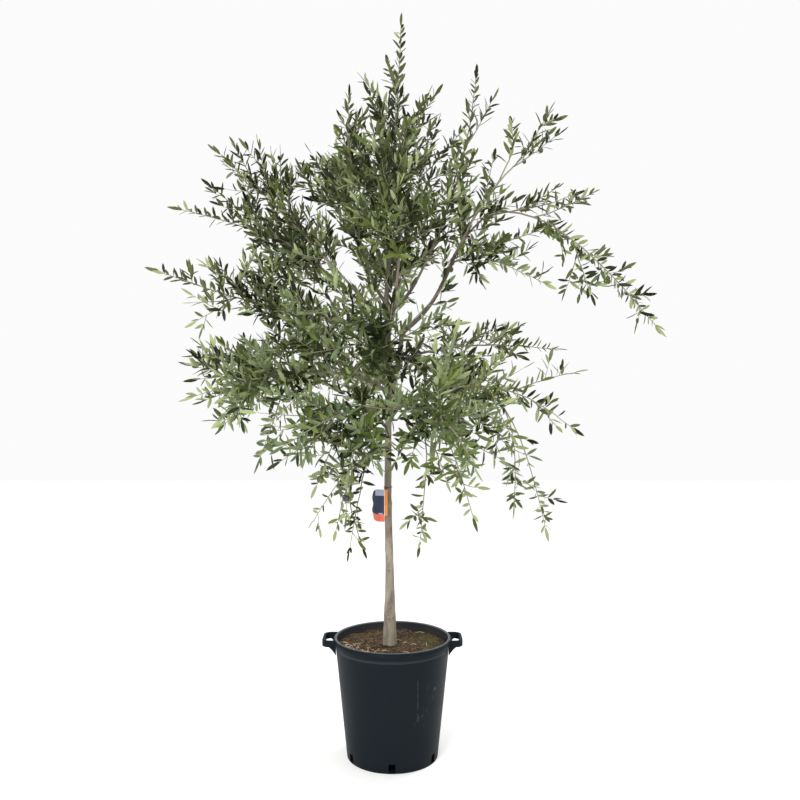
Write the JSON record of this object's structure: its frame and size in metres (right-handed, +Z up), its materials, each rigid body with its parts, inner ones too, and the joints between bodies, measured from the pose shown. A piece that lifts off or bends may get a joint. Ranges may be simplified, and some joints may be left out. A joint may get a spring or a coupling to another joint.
{
  "type": "potted olive tree",
  "caption": "Young standard olive tree with a clear trunk and an open crown of arching leafy shoots, in a round nursery pot with grab handles.",
  "frame": {"origin": "middle of the pot's flat underside", "axes": "+Z up along the pot's axis, -Y towards the front, +X towards the right handle"},
  "size_m": [1.6537, 1.3038, 2.3958],
  "materials": {
    "pot": "moulded, lightly scuffed",
    "soil": "loose potting soil with bark chips",
    "bark": "young grey-brown bark",
    "foliage": "leathery leaves, silvery below",
    "label": "printed card, satin",
    "tie": "soft strap"
  },
  "bodies": {
    "root": {"pot": "pot", "handle_right": "pot", "handle_left": "pot", "soil": "soil", "trunk": "bark", "bough_top": "bark", "bough_upper_left": "bark", "bough_top_right": "bark", "bough_top_left": "bark", "bough_right_stem": "bark", "bough_right_arch": "bark", "bough_right_high": "bark", "bough_right_mid": "bark", "bough_front_high": "bark", "bough_front_mid": "bark", "bough_back_mid": "bark", "bough_back_high": "bark", "bough_left_high": "bark", "bough_left_mid": "bark", "bough_left_low": "bark", "bough_low_left": "bark", "bough_back_low_right": "bark", "bough_back_low_left": "bark", "bough_low_right": "bark", "bough_low_front_right": "bark", "bough_low_front_left": "bark", "foliage_top": "foliage", "foliage_top_left": "foliage", "foliage_top_right": "foliage", "foliage_right_high": "foliage", "foliage_right_arch": "foliage", "foliage_right_mid": "foliage", "foliage_low_right": "foliage", "foliage_low_front_right": "foliage", "foliage_low_front_left": "foliage", "foliage_low_left": "foliage", "foliage_left_low": "foliage", "foliage_left_mid": "foliage", "foliage_left_high": "foliage", "foliage_upper_left": "foliage", "foliage_front_high": "foliage", "foliage_front_mid": "foliage", "foliage_back_high": "foliage", "foliage_back_mid": "foliage", "foliage_back_low_left": "foliage", "foliage_back_low_right": "foliage", "foliage_trunk_sprig": "foliage", "plant_label": "label", "label_tie": "tie"}
  },
  "joints": []
}
